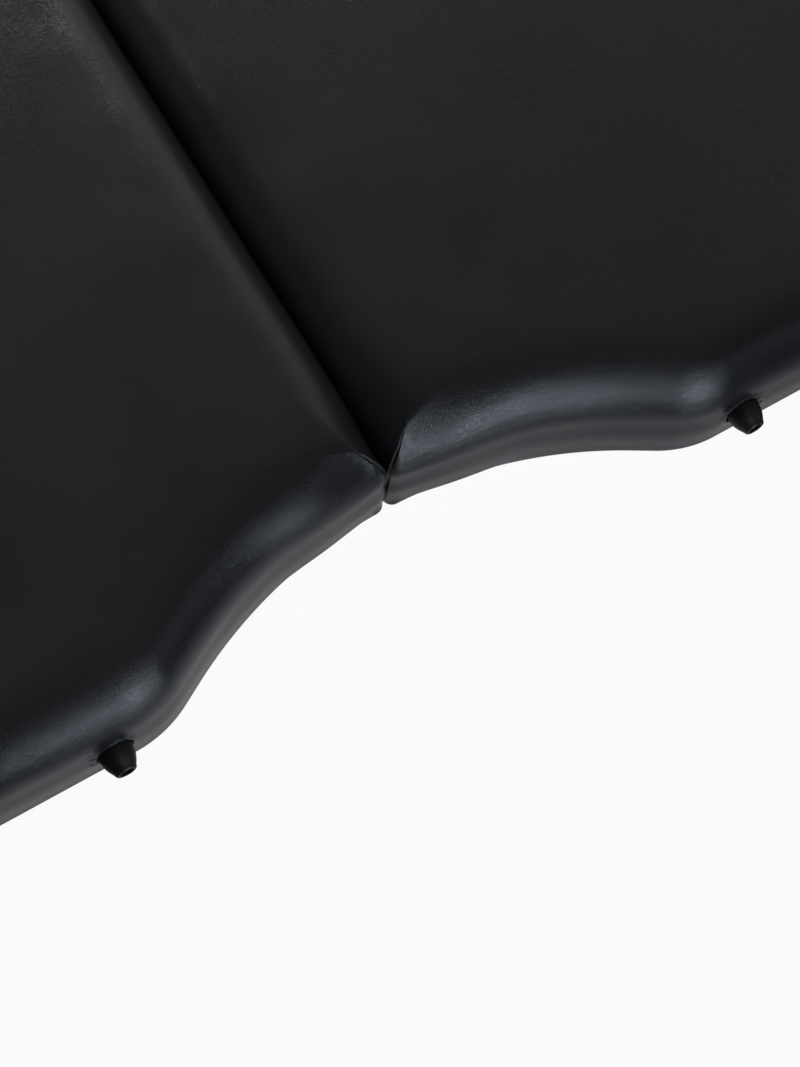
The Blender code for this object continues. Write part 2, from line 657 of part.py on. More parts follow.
def build_stay(name, half, leg_frame):
    """Two links that stand in line when the legs are open and fold together beside the batten."""
    deck_pin = (-STAY_REACH, 0.0)
    leg_pin = (0.0, -STAY_FOOT)
    share = UPPER_LINK_LENGTH / STAY_LENGTH
    knee = (deck_pin[0] * (1 - share), leg_pin[1] * share)
    link_y = (LINK_THICKNESS + CLEARANCE) / 2
    upper_pivot = make_empty(name + "_upper_stay_pivot",
                             (LEG_PIVOT_X + deck_pin[0], FRAME_SHIFT, LEG_PIVOT_HEIGHT), half)
    lower_pivot = make_empty(name + "_lower_stay_pivot", (0, 0, leg_pin[1]), leg_frame)
    upper_knee = (knee[0] - deck_pin[0], knee[1])
    lower_knee = (knee[0], knee[1] - leg_pin[1])
    build_link(name + "_upper_stay", (0, 0), upper_knee, -link_y, -1, upper_pivot)
    build_link(name + "_lower_stay", (0, 0), lower_knee, link_y, 1, lower_pivot)
    deck_rivet = (LEG_PIVOT_X + deck_pin[0], FRAME_SHIFT - link_y, LEG_PIVOT_HEIGHT)
    build_bracket(name + "_deck_bracket", deck_rivet, DECK_BOTTOM - CLEARANCE - LEG_PIVOT_HEIGHT, -1, half)
    build_bracket(name + "_leg_bracket", (0, link_y, leg_pin[1]), -LEG_BRACKET_HEIGHT, 1, leg_frame)


# Fittings on the long sides

def build_bumper(name, x, facing, parent):
    """Conical rubber bumper, hollow at its end for the screw."""
    tip, hole = BUMPER_LENGTH, BUMPER_HOLE_RADIUS
    profile = [(0.0, tip - BUMPER_HOLE_DEPTH), (hole, tip - BUMPER_HOLE_DEPTH), (hole, tip),
               (BUMPER_TIP_RADIUS - BUMPER_EDGE, tip)]
    steps = 4
    side_top, side_bottom = tip - BUMPER_EDGE, BUMPER_EDGE
    for i in range(steps + 1):
        share = i / steps
        radius = BUMPER_TIP_RADIUS + (BUMPER_BASE_RADIUS - BUMPER_TIP_RADIUS) * share
        bulge = BUMPER_BULGE * sin(pi * share)
        profile.append((radius + bulge, side_top + (side_bottom - side_top) * share))
    profile += [(BUMPER_BASE_RADIUS - BUMPER_EDGE, 0.0), (0.0, 0.0)]
    place_at = (x, facing * SIDE_FITTING_Y, UNDERSIDE_HEIGHT + BUMPER_HEIGHT)
    turned(name, profile, BUMPER_TURN_STEPS, place_at, (-facing * pi / 2, 0.0, 0.0), parent, RUBBER)


def build_handle(name, facing, half):
    """Carrying handle: plate with two ears, and a bail that hangs from them."""
    height = UNDERSIDE_HEIGHT + HANDLE_HEIGHT
    half_span, ear = HANDLE_SPAN / 2, HANDLE_EAR_THICKNESS / 2
    thick, reach, half_plate = HANDLE_PLATE_THICKNESS, BUMPER_LENGTH, HANDLE_PLATE_LENGTH / 2
    right = [(half_plate, 0), (half_plate, thick), (half_span + ear, thick), (half_span + ear, reach),
             (half_span - ear, reach), (half_span - ear, thick)]
    outline = right + [(-x, y) for x, y in reversed(right)]
    base = plate(name + "_handle_plate", [outline], HANDLE_PLATE_WIDTH,
                 (HANDLE_FROM_FOLD, facing * SIDE_FITTING_Y, height), half, PLASTIC,
                 (0.0, 0.0, (1 - facing) * pi / 2))
    base = as_mesh(base, PLASTIC)
    axis_y = facing * (SIDE_FITTING_Y + HANDLE_AXIS_REACH)
    bore = cylinder(name + "_handle_bore", (HANDLE_FROM_FOLD, axis_y, height), HANDLE_ROD_RADIUS + CLEARANCE,
                    HANDLE_SPAN + 4 * HANDLE_EAR_THICKNESS, (1, 0, 0), half, None)
    combine(base, "DIFFERENCE", bore)
    build_bail(name, make_empty(name + "_bail_pivot", (HANDLE_FROM_FOLD, axis_y, height), half))


def build_bail(name, pivot):
    """Round rod bent to a U, with a thicker grip, and stubs that turn in the plate's ears."""
    bend = HANDLE_BEND_RADIUS
    arm = HANDLE_SPAN / 2 - HANDLE_EAR_THICKNESS - bend
    stub_end = HANDLE_SPAN / 2 + HANDLE_EAR_THICKNESS
    upper = arc((arm + bend, -bend), bend, pi / 2, pi, 3)
    lower = arc((arm - bend, -HANDLE_DROP + bend), bend, 0.0, -pi / 2, 3)
    grip = arm - 2 * bend
    right = [(stub_end, 0.0)] + upper + lower + [(grip + bend / 2, -HANDLE_DROP), (grip, -HANDLE_DROP)]
    path = right + [(-x, z) for x, z in reversed(right)]
    curve = bpy.data.curves.new(name + "_bail", "CURVE")
    curve.dimensions = "3D"
    curve.bevel_depth = HANDLE_ROD_RADIUS
    curve.bevel_resolution = 2
    curve.use_fill_caps = True
    spline = curve.splines.new("POLY")
    spline.points.add(len(path) - 1)
    for point, (x, z) in zip(spline.points, path):
        point.co = (x, 0.0, z, 1.0)
        if abs(x) <= grip:
            point.radius = HANDLE_GRIP_RADIUS / HANDLE_ROD_RADIUS
    place(name + "_handle_bail", curve, pivot, PLASTIC)


def build_latch_hook(name, facing, half):
    """Swing hook, parked along the edge towards the outer end, with its shouldered screw."""
    notch = STUD_RADIUS + STUD_PLAY
    low, high = -LATCH_BAR_LOWER, LATCH_BAR_UPPER
    heel = arc((0, (low + high) / 2), (high - low) / 2, pi / 2, 3 * pi / 2, 8)
    mouth = arc((LATCH_SPAN, 0), notch, pi, 0.0, 8)
    mouth = [(mouth[0][0], low)] + mouth + [(mouth[-1][0], low)]
    tip = LATCH_SPAN + LATCH_TIP
    nose = [(tip - notch / 2, low), (tip, low + notch / 2)]
    nose += arc((tip - notch, high - notch), notch, 0, pi / 2, 3)
    pivot_at = (LATCH_X, facing * SIDE_FITTING_Y, UNDERSIDE_HEIGHT + LATCH_HEIGHT)
    pivot = make_empty(name + "_latch_pivot", pivot_at, half)
    plate_y = facing * (LATCH_POST_LENGTH + LATCH_PLATE_THICKNESS / 2)
    hook = plate(name + "_latch_hook", [heel + mouth + nose], LATCH_PLATE_THICKNESS, (0, plate_y, 0), pivot,
                 STEEL, UPRIGHT)
    hook = as_mesh(hook, STEEL)
    crown = LATCH_POST_LENGTH + LATCH_PLATE_THICKNESS
    top = crown + LATCH_HEAD_HEIGHT
    profile = [(0.0, top), (LATCH_HEAD_RADIUS * HEAD_TAPER, top), (LATCH_HEAD_RADIUS, crown - CLEARANCE),
               (LATCH_POST_RADIUS, crown - CLEARANCE), (LATCH_POST_RADIUS, 0.0), (0.0, 0.0)]
    screw = turned(name + "_latch_screw", profile, TURN_STEPS, (0, 0, 0), (-facing * pi / 2, 0, 0), pivot,
                   None)
    combine(hook, "UNION", screw)


def build_latch_stud(name, facing, half):
    neck = LATCH_POST_LENGTH + LATCH_PLATE_THICKNESS + STUD_PLAY
    top = neck + LATCH_HEAD_HEIGHT
    profile = [(0.0, top), (LATCH_HEAD_RADIUS * HEAD_TAPER, top), (LATCH_HEAD_RADIUS, neck),
               (STUD_RADIUS, neck), (STUD_RADIUS, LATCH_PLATE_THICKNESS),
               (LATCH_HEAD_RADIUS, LATCH_PLATE_THICKNESS / 2), (LATCH_HEAD_RADIUS, 0.0), (0.0, 0.0)]
    place_at = (LATCH_X, facing * SIDE_FITTING_Y, UNDERSIDE_HEIGHT + LATCH_HEIGHT)
    turned(name + "_latch_stud", profile, TURN_STEPS, place_at, (-facing * pi / 2, 0, 0), half, STEEL)


# Assembly

def build_leg_frame(name, half, rows):
    frame = make_empty(name + "_leg_pivot", (LEG_PIVOT_X, FRAME_SHIFT, LEG_PIVOT_HEIGHT), half)
    for row, sign in rows:
        label = f"{name}_{row}"
        build_pivot_bolt(label + "_pivot_bolt", half, sign)
        build_upper_leg(label + "_upper_leg", frame, sign)
        build_extension(label + "_leg_extension", frame, sign)
        build_foot(label + "_foot", frame, sign)
        build_knob(label + "_clamp_knob", frame, sign)
    build_stretcher(name + "_stretcher", frame)
    build_stay(name, half, frame)


def build_half(name, turn):
    """One half of the table; front and rear are the world's -Y and +Y on both halves."""
    rear = round(cos(turn))
    rows = (("front", -rear), ("rear", rear))
    fold = make_empty(name + "_half", (0, 0, FOLD_AXIS_HEIGHT))
    half = make_empty(name + "_half_frame", (0, 0, -FOLD_AXIS_HEIGHT), fold, turn)
    build_upholstery(name, half)
    build_tray(name, half, rows)
    build_hinge_leaf(name, half, 0 if rear > 0 else 1)
    build_pivot_batten(name, half)
    build_leg_frame(name, half, rows)
    build_bumper(name + "_inner_bumper", BUMPER_FROM_FOLD, -rear, half)
    build_bumper(name + "_outer_bumper", HALF_LENGTH - BUMPER_FROM_END, -rear, half)
    build_handle(name, rear, half)
    return half, rear


left, left_rear = build_half("left", pi)
right, right_rear = build_half("right", 0.0)
build_latch_hook("left", left_rear, left)
build_latch_stud("right", right_rear, right)
hinge_length = PAD_WIDTH - 2 * (WAIST_DEPTH + HINGE_END_MARGIN)
cylinder("fold_hinge_pin", (0, 0, FOLD_AXIS_HEIGHT), HINGE_PIN_RADIUS, hinge_length, (0, 1, 0), None,
         STEEL, 10)
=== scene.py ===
"""Looks of the folding massage table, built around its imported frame.

Leatherette pads with sewn fold corners, rubber bumpers, lacquered beech and plated fittings.  Each half of the
table is drawn in its own frame, in which x runs outwards from the fold, and is turned into place.
"""
import json
from math import asin, atan2, cos, exp, hypot, pi, radians, sin, sqrt, tan

import bmesh
import bpy
from bpy.props import FloatProperty, FloatVectorProperty, PointerProperty
from mathutils import Matrix, Vector, noise


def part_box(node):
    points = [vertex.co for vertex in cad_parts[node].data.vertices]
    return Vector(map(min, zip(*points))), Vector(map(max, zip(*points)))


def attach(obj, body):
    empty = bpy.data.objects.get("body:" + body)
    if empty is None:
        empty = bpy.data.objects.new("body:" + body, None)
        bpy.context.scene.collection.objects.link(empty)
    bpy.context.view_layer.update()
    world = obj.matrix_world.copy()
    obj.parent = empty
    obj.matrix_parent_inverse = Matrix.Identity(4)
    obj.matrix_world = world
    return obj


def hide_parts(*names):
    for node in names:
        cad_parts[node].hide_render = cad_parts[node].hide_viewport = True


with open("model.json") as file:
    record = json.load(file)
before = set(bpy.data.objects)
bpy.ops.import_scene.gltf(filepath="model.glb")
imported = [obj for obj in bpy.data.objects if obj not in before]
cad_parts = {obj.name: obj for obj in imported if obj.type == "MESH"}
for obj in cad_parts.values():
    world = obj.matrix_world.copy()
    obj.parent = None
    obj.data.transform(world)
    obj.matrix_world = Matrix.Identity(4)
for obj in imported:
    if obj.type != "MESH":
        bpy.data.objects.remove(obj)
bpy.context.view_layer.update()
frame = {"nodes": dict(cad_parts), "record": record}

bl_info = {
    "name": "Folding massage table",
    "version": (1, 0, 0),
    "blender": (4, 5, 0),
    "location": "View3D > Sidebar > Table",
    "description": "Dresses the frame of a folding massage table",
    "category": "Object",
}

# Places read from the frame, in metres
COVER_LOW, COVER_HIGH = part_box("right_cover")
FOLD_SIDE = COVER_LOW.x
OUTER_END = COVER_HIGH.x
HALF_WIDTH = COVER_HIGH.y
UNDERSIDE = COVER_LOW.z
PAD_TOP = COVER_HIGH.z
DECK_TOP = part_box("right_deck")[1].z
HALVES = {"left": pi, "right": 0.0}
SLOT_OF_NODE = {part["node"]: part["material_slot"] for part in frame["record"]["subparts"]}


class PadSettings(bpy.types.PropertyGroup):
    """Sizes of the padded halves."""
    waist_depth: FloatProperty(name="Waist depth", description="How far the waist cuts into each long side",
                               default=0.0695, unit="LENGTH")
    waist_radius: FloatProperty(name="Waist radius", description="Radius of the waist beside the fold",
                                default=0.358, unit="LENGTH")
    flank_angle: FloatProperty(name="Flank angle", description="Slope between the waist and the shoulder",
                               default=radians(30), subtype="ANGLE")
    shoulder_radius: FloatProperty(name="Shoulder radius", default=0.090, unit="LENGTH",
                                   description="Rounding where the flank meets the side")
    end_radius: FloatProperty(name="End corner radius", description="Rounding of the outer corners",
                              default=0.060, unit="LENGTH")
    left_corner: FloatProperty(name="Left fold corner", description="Rounding of the left half's fold corners",
                               default=0.0085, unit="LENGTH")
    right_corner: FloatProperty(name="Right fold corner", default=0.0080, unit="LENGTH",
                                description="Rounding of the right half's fold corners")
    rounding: FloatProperty(name="Edge rounding", description="Width of the padded upper edge, seen from above",
                            default=0.053, unit="LENGTH")
    fullness: FloatProperty(name="Fullness", description="How far the sides swell", default=0.0010,
                            unit="LENGTH")
    hem_rounding: FloatProperty(name="Hem rounding", description="Radius of the lower edge",
                                default=0.005, unit="LENGTH")
    crown_rise: FloatProperty(name="Crown rise", description="How far the middle stands above the edge",
                              default=0.004, unit="LENGTH")
    crown_run: FloatProperty(name="Crown run", description="Width over which the crown rises",
                             default=0.086, unit="LENGTH")
    swell: FloatProperty(name="Swell", description="Swelling of the waist beside the fold corners",
                         default=0.0030, unit="LENGTH")
    swell_reach: FloatProperty(name="Swell reach", description="Length of the swelling", default=0.110,
                               unit="LENGTH")
    corner_tug: FloatProperty(name="Corner tug", description="How far the seam draws in the edge at the fold",
                              default=0.005, unit="LENGTH")
    skin: FloatProperty(name="Skin", description="Thickness of the leatherette", default=0.0015, unit="LENGTH")
    hem: FloatProperty(name="Hem", description="Width of the leatherette under the tray",
                       default=0.018, unit="LENGTH")
    seam_reach: FloatProperty(name="Seam reach", description="How far the corner seam runs onto the top",
                              default=0.0118, unit="LENGTH")
    seam_depth: FloatProperty(name="Seam depth", description="Depth of the corner seam", default=0.0014,
                              unit="LENGTH")
    unevenness: FloatProperty(name="Unevenness", description="Height of the soft waves in the padding",
                              default=0.0008, unit="LENGTH")


class BumperSettings(bpy.types.PropertyGroup):
    """Sizes of the rubber bumpers and of their seats in the leatherette."""
    tip_radius: FloatProperty(name="Tip radius", description="Radius at the outer end", default=0.0080,
                              unit="LENGTH")
    bulge: FloatProperty(name="Bulge", description="Swelling of the cone", default=0.0014, unit="LENGTH")
    hole_radius: FloatProperty(name="Hole radius", description="Radius of the screw hole", default=0.0051,
                               unit="LENGTH")
    hole_depth: FloatProperty(name="Hole depth", description="Depth of the screw hole", default=0.008,
                              unit="LENGTH")
    lip_height: FloatProperty(name="Lip height", description="Height of the leatherette's lip round the base",
                              default=0.0013, unit="LENGTH")
    lip_width: FloatProperty(name="Lip width", description="Width of the leatherette's lip", default=0.0030,
                             unit="LENGTH")
    gap: FloatProperty(name="Gap", description="Gap between the base and the lip", default=0.0005,
                       unit="LENGTH")


class FinishSettings(bpy.types.PropertyGroup):
    """Colours of the finishes, and the size of the grain."""
    leatherette: FloatVectorProperty(name="Leatherette", description="Black of the covers", subtype="COLOR",
                                     size=3, default=(0.0162, 0.0168, 0.0188))
    rubber: FloatVectorProperty(name="Rubber", description="Black of bumpers and feet", subtype="COLOR",
                                size=3, default=(0.010, 0.010, 0.011))
    plastic: FloatVectorProperty(name="Plastic", description="Black of knobs and handles", subtype="COLOR",
                                 size=3, default=(0.015, 0.015, 0.016))
    beech: FloatVectorProperty(name="Beech", description="Lacquered beech", subtype="COLOR", size=3,
                               default=(0.50, 0.28, 0.135))
    plywood: FloatVectorProperty(name="Plywood", description="Birch plywood", subtype="COLOR", size=3,
                                 default=(0.60, 0.44, 0.27))
    zinc: FloatVectorProperty(name="Zinc", description="Zinc-plated steel", subtype="COLOR", size=3,
                              default=(0.60, 0.61, 0.63))
    pebbles: FloatProperty(name="Pebbles", description="Pebbles of the leatherette's grain in a metre",
                           default=820.0)


class StageSettings(bpy.types.PropertyGroup):
    """Camera, floor and lights."""
    camera_place: FloatVectorProperty(name="Camera place", description="Where the camera stands", size=3,
                                      default=(-0.3316, -0.7072, 1.8748), subtype="TRANSLATION", unit="LENGTH")
    heading: FloatProperty(name="Heading", description="Camera heading, from +Y towards +X",
                           default=radians(40.55), subtype="ANGLE")
    dip: FloatProperty(name="Dip", description="How far the camera looks down", default=radians(69.12),
                       subtype="ANGLE")
    roll: FloatProperty(name="Roll", description="Turn of the camera about its view", default=radians(10.49),
                        subtype="ANGLE")
    lens: FloatProperty(name="Lens", description="Focal length in millimetres", default=66.9)
    floor_size: FloatProperty(name="Floor size", description="Side of the floor", default=40.0, unit="LENGTH")
    key_power: FloatProperty(name="Key power", description="Softbox in front, in watts", default=6.6)
    upper_power: FloatProperty(name="Upper power", description="Softbox above the key, in watts", default=1.9)
    card_power: FloatProperty(name="Card power", description="Softbox left of the key, in watts", default=0.15)
    side_power: FloatProperty(name="Side power", description="Softbox in front at the right, in watts",
                              default=1.1)
    over_power: FloatProperty(name="Over power", description="Softbox high up in front, in watts", default=1.0)
    right_power: FloatProperty(name="Right power", description="Softbox behind at the right, in watts",
                               default=8.0)
    back_power: FloatProperty(name="Back power", description="Softbox behind, in watts", default=285.0)


# Helpers for meshes

def add_piece(name, bm, material, body, smooth_below=radians(35)):
    """Finish a mesh as a piece that rides on a body; edges sharper than the angle stay crisp."""
    bmesh.ops.recalc_face_normals(bm, faces=bm.faces)
    for face in bm.faces:
        face.smooth = True
    for edge in bm.edges:
        edge.smooth = edge.calc_face_angle(0.0) < smooth_below
    mesh = bpy.data.meshes.new(name)
    bm.to_mesh(mesh)
    bm.free()
    mesh.materials.append(material)
    piece = bpy.data.objects.new(name, mesh)
    bpy.context.scene.collection.objects.link(piece)
    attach(piece, body)
    return piece


def arc(centre, radius, start, end, steps):
    angles = [start + (end - start) * step / steps for step in range(steps + 1)]
    return [(centre[0] + radius * cos(a), centre[1] + radius * sin(a)) for a in angles]


def straight(start, end, steps, crowding=1.0):
    """Points from start up to, but not including, end; a crowding above 1 packs them towards the end."""
    shares = [1 - (1 - step / steps) ** crowding for step in range(steps)]
    return [(start[0] + (end[0] - start[0]) * s, start[1] + (end[1] - start[1]) * s) for s in shares]


def turned(profile, steps):
    """A mesh spun about Z from a profile of (radius, height) points."""
    bm = bmesh.new()
    verts = [bm.verts.new((radius, 0.0, height)) for radius, height in profile]
    edges = [bm.edges.new(pair) for pair in zip(verts, verts[1:])]
    bmesh.ops.spin(bm, geom=verts + edges, cent=(0, 0, 0), axis=(0, 0, 1), angle=2 * pi, steps=steps,
                   use_merge=True, dvec=(0, 0, 0))
    bmesh.ops.remove_doubles(bm, verts=bm.verts, dist=1e-6)
    return bm


def loft(rings):
    """Skin through closed rings of equal length, capped at both ends, grown ring by ring."""
    bm = bmesh.new()
    row = [bm.verts.new(point) for point in rings[0]]
    edges = [bm.edges.new(pair) for pair in zip(row, row[1:] + row[:1])]
    bm.faces.new(row)
    for ring in rings[1:]:
        grown = bmesh.ops.extrude_edge_only(bm, edges=edges)["geom"]
        fresh = {item for item in grown if isinstance(item, bmesh.types.BMVert)}
        edges = [item for item in grown if isinstance(item, bmesh.types.BMEdge)]
        edges = [edge for edge in edges if edge.verts[0] in fresh and edge.verts[1] in fresh]
        row = [next(edge.other_vert(vert) for edge in vert.link_edges if edge.other_vert(vert) in fresh)
               for vert in row]
        for vert, point in zip(row, ring):
            vert.co = point
    bm.faces.new(row)
    return bm


# Helpers for materials

def add_node(tree, kind, inputs=None, **settings):
    """A node with its settings; an input is given a value, or the socket that feeds it."""
    node = tree.nodes.new(kind)
    for name, value in settings.items():
        setattr(node, name, value)
    for name, value in (inputs or {}).items():
        if isinstance(value, bpy.types.NodeSocket):
            tree.links.new(value, node.inputs[name])
        else:
            node.inputs[name].default_value = value
    return node


def mixed(tree, factor, first, second):
    """Colour between two colours or sockets; the mix node's colour sockets are known by their numbers."""
    node = add_node(tree, "ShaderNodeMix", {0: factor, 6: first, 7: second}, data_type="RGBA")
    return node.outputs[2]


def ranged(tree, value, low, high, out_low, out_high):
    """Value moved from one range to another, and held within it."""
    node = add_node(tree, "ShaderNodeMapRange", {"Value": value, "From Min": low, "From Max": high,
                                                 "To Min": out_low, "To Max": out_high})
    return node.outputs["Result"]


def calculated(tree, operation, first, second):
    node = add_node(tree, "ShaderNodeMath", {0: first, 1: second}, operation=operation)
    return node.outputs[0]


def new_group(name, inputs, outputs):
    """A shader node group with float, vector or colour sockets; returns it and its two end nodes."""
    group = bpy.data.node_groups.new(name, "ShaderNodeTree")
    for label, kind, default in inputs:
        socket = group.interface.new_socket(name=label, in_out="INPUT", socket_type=kind)
        if default is not None:
            socket.default_value = default
    for label, kind in outputs:
        group.interface.new_socket(name=label, in_out="OUTPUT", socket_type=kind)
    return group, group.nodes.new("NodeGroupInput"), group.nodes.new("NodeGroupOutput")


def place_group(tree, group, inputs):
    return add_node(tree, "ShaderNodeGroup", inputs, node_tree=group)


def new_material(name):
    """An empty material with a Principled BSDF; returns it, its tree, the shader and Object coordinates."""
    material = bpy.data.materials.new(name)
    material.use_nodes = True
    tree = material.node_tree
    shader = tree.nodes["Principled BSDF"]
    return material, tree, shader, add_node(tree, "ShaderNodeTexCoord").outputs["Object"]


def rgba(colour, level=1.0):
    return (*(channel * level for channel in colour), 1.0)


def pebble_group():
    """Rounded pebbles parted by fine creases, as in leather or on a grained moulding."""
    group, start, end = new_group("pebble_grain", [("Vector", "NodeSocketVector", None),
                                                   ("Pebbles", "NodeSocketFloat", 800.0),
                                                   ("Crease", "NodeSocketFloat", 0.25)],
                                  [("Height", "NodeSocketFloat")])
    wander = add_node(group, "ShaderNodeTexNoise", {"Vector": start.outputs["Vector"], "Scale": 260.0,
                                                    "Detail": 1.0})
    drift = add_node(group, "ShaderNodeVectorMath", {0: wander.outputs["Color"], 1: (0.0011, 0.0011, 0.0011)},
                     operation="MULTIPLY")
    moved = add_node(group, "ShaderNodeVectorMath", {0: start.outputs["Vector"], 1: drift.outputs[0]},
                     operation="ADD")
    cells = add_node(group, "ShaderNodeTexVoronoi", {"Vector": moved.outputs[0],
                                                     "Scale": start.outputs["Pebbles"]},
                     feature="DISTANCE_TO_EDGE")
    height = ranged(group, cells.outputs["Distance"], 0.0, start.outputs["Crease"], 0.0, 1.0)
    group.links.new(height, end.inputs["Height"])
    return group


def cloud_group():
    """Soft clouds for slow changes of colour and gloss."""
    group, start, end = new_group("soft_clouds", [("Vector", "NodeSocketVector", None),
                                                  ("Size", "NodeSocketFloat", 8.0)],
                                  [("Value", "NodeSocketFloat")])
    clouds = add_node(group, "ShaderNodeTexNoise", {"Vector": start.outputs["Vector"],
                                                    "Scale": start.outputs["Size"], "Detail": 2.0,
                                                    "Roughness": 0.55})
    group.links.new(ranged(group, clouds.outputs["Fac"], 0.2, 0.8, 0.0, 1.0), end.inputs["Value"])
    return group


def timber_group():
    """Straight timber grain along X: fine pores, slow figure and the short flecks of beech."""
    group, start, end = new_group("timber_grain", [("Vector", "NodeSocketVector", None),
                                                   ("Fleck", "NodeSocketFloat", 0.5)],
                                  [("Figure", "NodeSocketFloat"), ("Flecks", "NodeSocketFloat"),
                                   ("Height", "NodeSocketFloat")])
    stretched = add_node(group, "ShaderNodeMapping", {"Vector": start.outputs["Vector"],
                                                      "Scale": (1.2, 26.0, 26.0)})
    figure = add_node(group, "ShaderNodeTexNoise", {"Vector": stretched.outputs[0], "Scale": 3.0,
                                                    "Detail": 6.0, "Roughness": 0.6, "Distortion": 0.6})
    narrow = add_node(group, "ShaderNodeMapping", {"Vector": start.outputs["Vector"],
                                                   "Scale": (110.0, 900.0, 900.0)})
    flecks = add_node(group, "ShaderNodeTexNoise", {"Vector": narrow.outputs[0], "Scale": 1.0, "Detail": 2.0})
    fleck_mask = ranged(group, flecks.outputs["Fac"], 0.60, 0.72, 0.0, 1.0)
    group.links.new(ranged(group, figure.outputs["Fac"], 0.32, 0.68, 0.0, 1.0), end.inputs["Figure"])
    group.links.new(calculated(group, "MULTIPLY", fleck_mask, start.outputs["Fleck"]), end.inputs["Flecks"])
    pores = ranged(group, flecks.outputs["Fac"], 0.35, 0.75, 1.0, 0.0)
    group.links.new(pores, end.inputs["Height"])
    return group


class Finishes:
    """The materials of the table, each made once, on first use."""
    made = {}

    @classmethod
    def get(cls, name):
        if name not in cls.made:
            cls.made[name] = FINISH_MAKERS[name](name)
        return cls.made[name]

    @classmethod
    def group(cls, maker):
        if maker not in cls.made:
            cls.made[maker] = maker()
        return cls.made[maker]


def settings():
    return bpy.context.scene.massage_table


def roughen(tree, shader, height, strength, distance):
    """Feed a height to the shader's normal."""
    bump = add_node(tree, "ShaderNodeBump", {"Height": height, "Strength": strength, "Distance": distance})
    tree.links.new(bump.outputs[0], shader.inputs["Normal"])


def make_leatherette(name):
    """Black leatherette with a pebbled grain and a few specks of dust."""
    finish = settings().finish
    material, tree, shader, at = new_material(name)
    clouds = place_group(tree, Finishes.group(cloud_group), {"Vector": at, "Size": 9.0})
    specks = add_node(tree, "ShaderNodeTexVoronoi", {"Vector": at, "Scale": 22.0})
    dust = ranged(tree, specks.outputs["Distance"], 0.008, 0.016, 0.5, 0.0)
    black = mixed(tree, clouds.outputs["Value"], rgba(finish.leatherette, 0.85), rgba(finish.leatherette, 1.15))
    tree.links.new(mixed(tree, dust, black, (0.06, 0.06, 0.06, 1.0)), shader.inputs["Base Color"])
    tree.links.new(ranged(tree, clouds.outputs["Value"], 0.0, 1.0, 0.18, 0.22), shader.inputs["Roughness"])
    grain = place_group(tree, Finishes.group(pebble_group), {"Vector": at, "Pebbles": finish.pebbles,
                                                             "Crease": 0.22})
    roughen(tree, shader, grain.outputs["Height"], 0.25, 0.0003)
    return material


def make_rubber(name):
    finish = settings().finish
    material, tree, shader, at = new_material(name)
    clouds = place_group(tree, Finishes.group(cloud_group), {"Vector": at, "Size": 60.0})
    bloom = mixed(tree, clouds.outputs["Value"], rgba(finish.rubber, 0.8), rgba(finish.rubber, 1.5))
    tree.links.new(bloom, shader.inputs["Base Color"])
    tree.links.new(ranged(tree, clouds.outputs["Value"], 0.0, 1.0, 0.36, 0.50), shader.inputs["Roughness"])
    grain = place_group(tree, Finishes.group(pebble_group), {"Vector": at, "Pebbles": 1600.0, "Crease": 0.4})
    roughen(tree, shader, grain.outputs["Height"], 0.12, 0.0001)
    return material


def make_plastic(name):
    finish = settings().finish
    material, tree, shader, at = new_material(name)
    clouds = place_group(tree, Finishes.group(cloud_group), {"Vector": at, "Size": 40.0})
    tone = mixed(tree, clouds.outputs["Value"], rgba(finish.plastic, 0.85), rgba(finish.plastic, 1.25))
    tree.links.new(tone, shader.inputs["Base Color"])
    tree.links.new(ranged(tree, clouds.outputs["Value"], 0.0, 1.0, 0.34, 0.44), shader.inputs["Roughness"])
    grain = place_group(tree, Finishes.group(pebble_group), {"Vector": at, "Pebbles": 2200.0, "Crease": 0.5})
    roughen(tree, shader, grain.outputs["Height"], 0.15, 0.0001)
    return material


def make_zinc(name):
    finish = settings().finish
    material, tree, shader, at = new_material(name)
    clouds = place_group(tree, Finishes.group(cloud_group), {"Vector": at, "Size": 120.0})
    tone = mixed(tree, clouds.outputs["Value"], rgba(finish.zinc, 0.86), rgba(finish.zinc, 1.08))
    tree.links.new(tone, shader.inputs["Base Color"])
    shader.inputs["Metallic"].default_value = 1.0
    tree.links.new(ranged(tree, clouds.outputs["Value"], 0.0, 1.0, 0.26, 0.42), shader.inputs["Roughness"])
    roughen(tree, shader, clouds.outputs["Value"], 0.10, 0.0001)
    return material


def make_timber(name, colour, turn, fleck):
    """Timber whose grain runs along X once the coordinates are turned."""
    material, tree, shader, at = new_material(name)
    along = add_node(tree, "ShaderNodeMapping", {"Vector": at, "Rotation": turn})
    grain = place_group(tree, Finishes.group(timber_group), {"Vector": along.outputs[0], "Fleck": fleck})
    figure = mixed(tree, grain.outputs["Figure"], rgba(colour, 0.80), rgba(colour, 1.18))
    flecked = mixed(tree, grain.outputs["Flecks"], figure, rgba(colour, 0.45))
    tree.links.new(flecked, shader.inputs["Base Color"])
    tree.links.new(ranged(tree, grain.outputs["Figure"], 0.0, 1.0, 0.44, 0.34), shader.inputs["Roughness"])
    shader.inputs["Coat Weight"].default_value = 0.15
    shader.inputs["Coat Roughness"].default_value = 0.25
    roughen(tree, shader, grain.outputs["Height"], 0.12, 0.0003)
    return material


